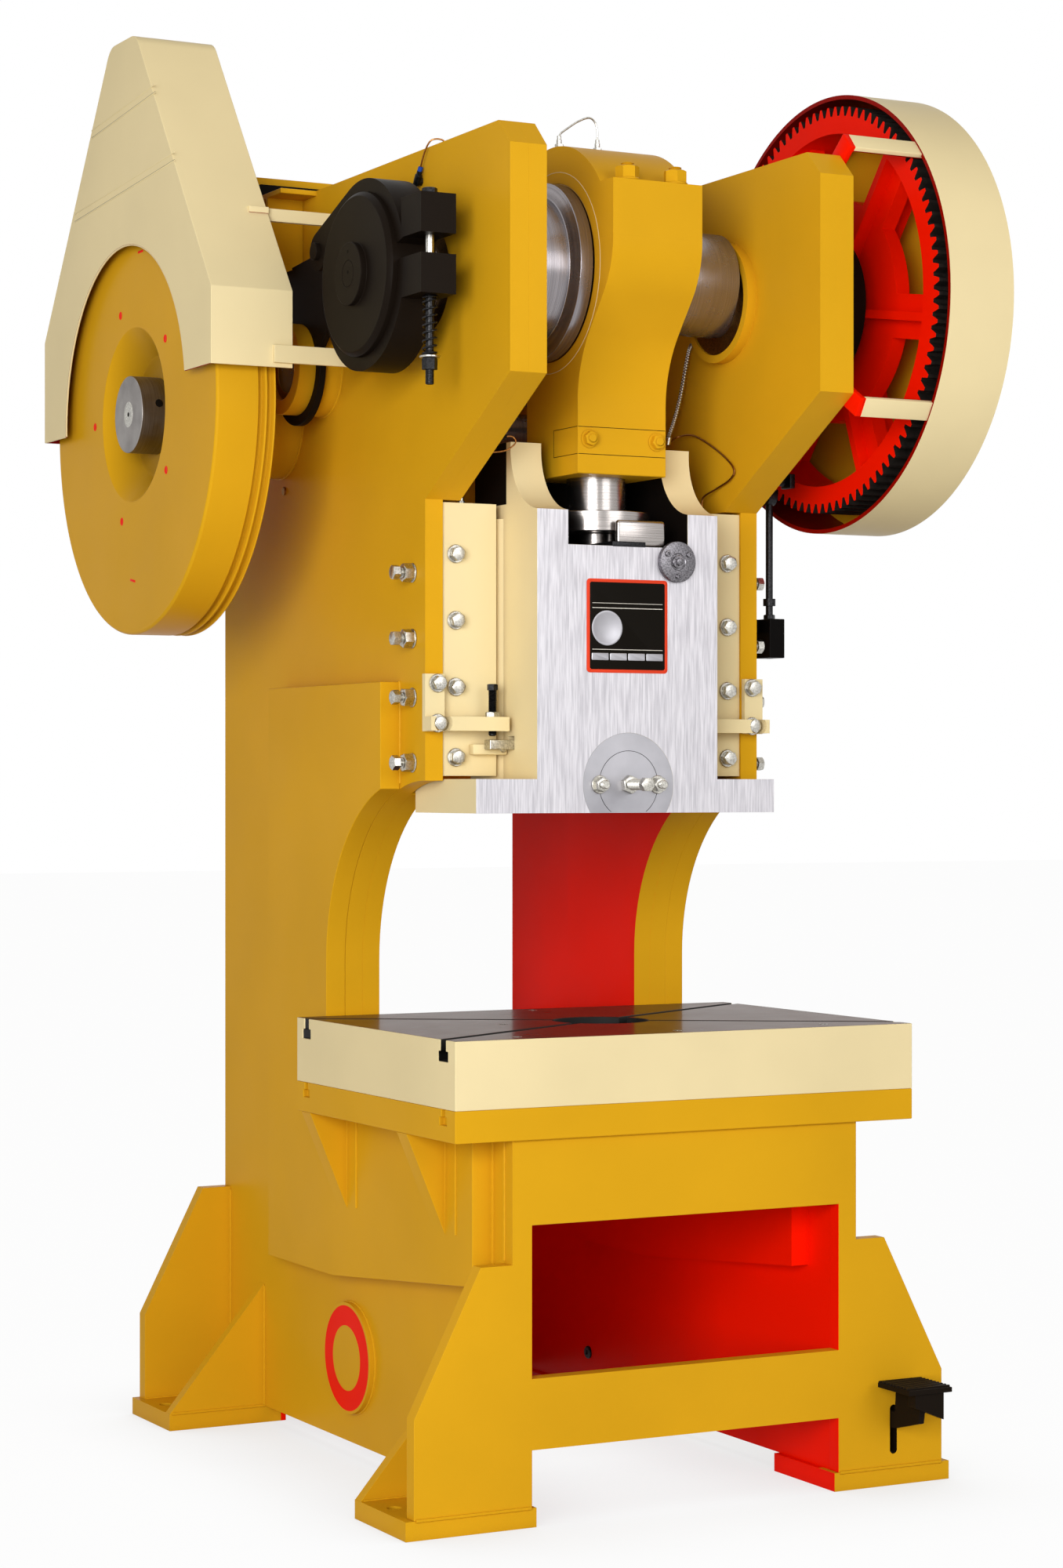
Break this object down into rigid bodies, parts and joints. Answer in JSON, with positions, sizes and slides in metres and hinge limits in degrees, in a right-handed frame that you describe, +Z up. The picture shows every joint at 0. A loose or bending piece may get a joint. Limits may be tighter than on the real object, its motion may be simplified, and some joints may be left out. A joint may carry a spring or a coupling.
{
  "type": "mechanical stamping press",
  "caption": "C-frame power press with a geared crank: dished flywheel, bull gear in a ring guard, vee-guided ram and T-slotted table.",
  "frame": {"origin": "centre of the four anchor holes, on the floor", "axes": "+Z up, +X to the operator's right, front of the press toward -Y"},
  "size_m": [1.345, 1.5846, 2.7423],
  "materials": {
    "mustard_paint": "gloss enamel",
    "cream_paint": "gloss enamel",
    "red_paint": "gloss enamel",
    "black_paint": "satin enamel",
    "ground_steel": "turned and ground",
    "milled_steel": "brushed along Z",
    "plated_steel": "zinc plated",
    "black_steel": "black oxide",
    "bronze": "turned",
    "cast_iron": "machined"
  },
  "bodies": {
    "frame": {"bed_plate": "mustard_paint", "belt_guard": "cream_paint", "bolster_plate": "cream_paint", "brake_anchor_plate": "black_paint", "brake_bolt": "black_steel", "brake_shoe_lower": "black_paint", "brake_shoe_upper": "black_paint", "brake_spring": "black_steel", "crank_bushes": "bronze", "foot_front_left": "mustard_paint", "foot_front_right": "mustard_paint", "foot_rear_left": "mustard_paint", "foot_rear_right": "mustard_paint", "front_panel": "mustard_paint", "gear_guard": "cream_paint", "gib_adjusting_screws": "plated_steel", "gib_bolts": "plated_steel", "gib_left": "cream_paint", "gib_right": "cream_paint", "inner_plate_left": "mustard_paint", "inner_plate_right": "mustard_paint", "knockout_bracket_left": "cream_paint", "knockout_bracket_right": "cream_paint", "knockout_screws": "plated_steel", "motor_base": "mustard_paint", "outer_plate_left": "mustard_paint", "outer_plate_right": "mustard_paint", "pinion_housing_left": "mustard_paint", "pinion_housing_right": "mustard_paint", "rear_panel": "mustard_paint", "rear_upper_plate": "mustard_paint", "shaft_bushes": "bronze", "side_plate_left": "mustard_paint", "side_plate_right": "mustard_paint", "top_plate": "mustard_paint", "trip_block": "black_paint"},
    "crank": {"crankshaft": "ground_steel", "eccentric_sleeve": "ground_steel", "brake_drum": "black_paint"},
    "rod": {"connecting_rod": "mustard_paint", "rod_cap": "mustard_paint", "rod_bush": "bronze", "cap_bolts": "mustard_paint", "clamp_bolts": "mustard_paint", "ball_screw": "ground_steel"},
    "ram_body": {"ram": "milled_steel", "ball_cup": "cast_iron", "shank_clamp": "milled_steel", "shank_bolts": "plated_steel", "adjuster_cap": "milled_steel"},
    "knockout": {"knockout_bar": "ground_steel"},
    "gear": {"bull_gear": "red_paint", "clutch_housing": "black_paint"},
    "countershaft": {"pinion_shaft": "ground_steel", "intermediate_gear": "ground_steel"},
    "flywheel_body": {"flywheel_shaft": "ground_steel", "flywheel": "mustard_paint", "flywheel_collar": "ground_steel"},
    "trip": {"trip_rod": "black_steel"},
    "pedal": {"foot_pedal": "black_paint"}
  },
  "joints": [
    {"name": "crank_turn", "type": "hinge", "parent": "frame", "child": "crank", "pos_m": [0, -0.309, 2.21], "axis": [1, 0, 0], "range_deg": [0, 180]},
    {"name": "rod_swing", "type": "hinge", "parent": "crank", "child": "rod", "pos_m": [0, -0.309, 2.24], "axis": [1, 0, 0], "range_deg": [-180, 0]},
    {"name": "ram_slide", "type": "slide", "parent": "frame", "child": "ram_body", "axis": [0, 0, 1], "range_m": [-0.06, 0]},
    {"name": "knockout_slide", "type": "slide", "parent": "ram_body", "child": "knockout", "axis": [0, 0, 1], "range_m": [0, 0.006]},
    {"name": "flywheel_spin", "type": "hinge", "parent": "frame", "child": "flywheel_body", "pos_m": [0, 0.35457, 2.01329], "axis": [1, 0, 0], "continuous": true},
    {"name": "countershaft_spin", "type": "hinge", "parent": "frame", "child": "countershaft", "pos_m": [0, 0.14409, 2.09282], "axis": [1, 0, 0], "continuous": true},
    {"name": "gear_spin", "type": "hinge", "parent": "frame", "child": "gear", "pos_m": [0, -0.309, 2.21], "axis": [1, 0, 0], "continuous": true},
    {"name": "pedal_press", "type": "hinge", "parent": "frame", "child": "pedal", "pos_m": [0.436, -0.5, 0.122], "axis": [1, 0, 0], "range_deg": [0, 14], "stiffness_Nm_per_rad": 25, "springref_deg": -25.78},
    {"name": "trip_slide", "type": "slide", "parent": "frame", "child": "trip", "axis": [0, 0, 1], "range_m": [-0.025, 0]}
  ],
  "couplings": [
    {"joint": "rod_swing", "follows": "crank_turn", "ratio": -1},
    {"joint": "ram_slide", "follows": "crank_turn", "m_per_rad": -0.019099},
    {"joint": "countershaft_spin", "follows": "flywheel_spin", "ratio": -0.31579},
    {"joint": "gear_spin", "follows": "flywheel_spin", "ratio": 0.069079},
    {"joint": "trip_slide", "follows": "pedal_press", "m_per_rad": -0.1}
  ]
}
